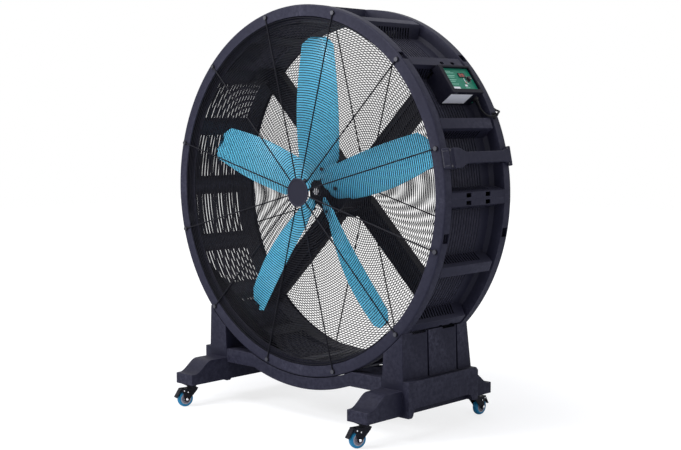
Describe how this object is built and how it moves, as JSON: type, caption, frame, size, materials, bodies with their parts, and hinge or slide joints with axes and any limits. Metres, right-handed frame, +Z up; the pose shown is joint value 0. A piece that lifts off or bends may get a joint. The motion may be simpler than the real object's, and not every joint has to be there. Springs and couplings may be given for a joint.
{
  "type": "mobile drum fan",
  "caption": "Large mobile drum fan: caged drum with slotted sides, bladed rotor on a motor cross, side control box and carry handle, on a cradle base with braked swivel casters.",
  "frame": {"origin": "on the floor, under the centre of the base and drum", "axes": "+X to the control box side, +Y to the back (air leaves towards -Y), +Z up"},
  "size_m": [1.658, 0.919, 1.843],
  "materials": {
    "drum_plastic": "fine moulded grain, satin",
    "base_plastic": "fine moulded grain, satin",
    "black_steel": "black powder coat",
    "dark_bolts": "black oxide",
    "motor_black": "satin black paint",
    "motor_core": "laminated core with copper windings",
    "bright_steel": "ground",
    "blade_blue": "semi-gloss",
    "box_plastic": "satin",
    "panel_green": "printed film",
    "knob_black": "satin",
    "cord_black": "matt",
    "tyre_blue": "smooth",
    "hub_grey": "satin"
  },
  "bodies": {
    "drum_and_base": {"shroud_upper_right": "drum_plastic", "shroud_upper_left": "drum_plastic", "shroud_lower_right": "drum_plastic", "shroud_lower_left": "drum_plastic", "carry_handle": "drum_plastic", "base_right": "base_plastic", "base_left": "base_plastic", "front_crossbar": "base_plastic", "rear_crossbar": "base_plastic", "front_grille": "black_steel", "rear_grille": "black_steel", "motor_cross": "black_steel", "caster_plates": "black_steel", "seam_bolts": "dark_bolts", "housing_screws": "dark_bolts", "grille_screws": "dark_bolts", "cross_bolts": "dark_bolts", "base_bolts": "dark_bolts", "motor_body": "motor_black", "motor_front_cap": "motor_black", "motor_stator": "motor_core", "motor_bearings": "bright_steel", "front_badge": "box_plastic", "control_box": "box_plastic", "control_panel": "panel_green", "cord_gland": "knob_black", "power_cord": "cord_black", "cord_coil": "cord_black", "power_plug": "knob_black", "cord_hook": "black_steel"},
    "rotor": {"motor_shaft": "bright_steel", "motor_rotor": "motor_core", "blade_hub": "black_steel", "blade_1": "blade_blue", "blade_2": "blade_blue", "blade_3": "blade_blue", "blade_4": "blade_blue", "blade_5": "blade_blue", "blade_bolts": "dark_bolts", "shaft_nut": "bright_steel"},
    "knob": {"speed_knob": "knob_black"},
    "swivel_front_right": {"fork_front_right": "black_steel"},
    "wheel_front_right": {"tyre_front_right": "tyre_blue", "wheel_hub_front_right": "hub_grey"},
    "pedal_front_right": {"brake_pedal_front_right": "black_steel"},
    "swivel_front_left": {"fork_front_left": "black_steel"},
    "wheel_front_left": {"tyre_front_left": "tyre_blue", "wheel_hub_front_left": "hub_grey"},
    "pedal_front_left": {"brake_pedal_front_left": "black_steel"},
    "swivel_rear_right": {"fork_rear_right": "black_steel"},
    "wheel_rear_right": {"tyre_rear_right": "tyre_blue", "wheel_hub_rear_right": "hub_grey"},
    "pedal_rear_right": {"brake_pedal_rear_right": "black_steel"},
    "swivel_rear_left": {"fork_rear_left": "black_steel"},
    "wheel_rear_left": {"tyre_rear_left": "tyre_blue", "wheel_hub_rear_left": "hub_grey"},
    "pedal_rear_left": {"brake_pedal_rear_left": "black_steel"}
  },
  "joints": [
    {"name": "fan_spin", "type": "hinge", "parent": "drum_and_base", "child": "rotor", "pos_m": [0, 0.022, 1.018], "axis": [0, 1, 0], "continuous": true},
    {"name": "speed_knob_turn", "type": "hinge", "parent": "drum_and_base", "child": "knob", "pos_m": [0.68193, 0.125, 1.5085], "axis": [0.809, 0, 0.5878], "range_deg": [0, 270]},
    {"name": "caster_swivel_front_right", "type": "hinge", "parent": "drum_and_base", "child": "swivel_front_right", "pos_m": [0.5465, -0.375, 0.09], "axis": [0, 0, 1], "continuous": true},
    {"name": "wheel_spin_front_right", "type": "hinge", "parent": "swivel_front_right", "child": "wheel_front_right", "pos_m": [0.5374, -0.40672, 0.0375], "axis": [-0.9613, 0.2756, 0], "continuous": true},
    {"name": "brake_pedal_press_front_right", "type": "hinge", "parent": "swivel_front_right", "child": "pedal_front_right", "pos_m": [0.53382, -0.41922, 0.078], "axis": [-0.9613, 0.2756, 0], "range_deg": [-10, 0]},
    {"name": "caster_swivel_front_left", "type": "hinge", "parent": "drum_and_base", "child": "swivel_front_left", "pos_m": [-0.5465, -0.375, 0.09], "axis": [0, 0, 1], "continuous": true},
    {"name": "wheel_spin_front_left", "type": "hinge", "parent": "swivel_front_left", "child": "wheel_front_left", "pos_m": [-0.5556, -0.40672, 0.0375], "axis": [-0.9613, 0.2756, 0], "continuous": true},
    {"name": "brake_pedal_press_front_left", "type": "hinge", "parent": "swivel_front_left", "child": "pedal_front_left", "pos_m": [-0.55918, -0.41922, 0.078], "axis": [-0.9613, 0.2756, 0], "range_deg": [-10, 0]},
    {"name": "caster_swivel_rear_right", "type": "hinge", "parent": "drum_and_base", "child": "swivel_rear_right", "pos_m": [0.5465, 0.375, 0.09], "axis": [0, 0, 1], "continuous": true},
    {"name": "wheel_spin_rear_right", "type": "hinge", "parent": "swivel_rear_right", "child": "wheel_rear_right", "pos_m": [0.5465, 0.408, 0.0375], "axis": [1, 0, 0], "continuous": true},
    {"name": "brake_pedal_press_rear_right", "type": "hinge", "parent": "swivel_rear_right", "child": "pedal_rear_right", "pos_m": [0.5465, 0.421, 0.078], "axis": [1, 0, 0], "range_deg": [-10, 0]},
    {"name": "caster_swivel_rear_left", "type": "hinge", "parent": "drum_and_base", "child": "swivel_rear_left", "pos_m": [-0.5465, 0.375, 0.09], "axis": [0, 0, 1], "continuous": true},
    {"name": "wheel_spin_rear_left", "type": "hinge", "parent": "swivel_rear_left", "child": "wheel_rear_left", "pos_m": [-0.5465, 0.408, 0.0375], "axis": [1, 0, 0], "continuous": true},
    {"name": "brake_pedal_press_rear_left", "type": "hinge", "parent": "swivel_rear_left", "child": "pedal_rear_left", "pos_m": [-0.5465, 0.421, 0.078], "axis": [1, 0, 0], "range_deg": [-10, 0]}
  ]
}
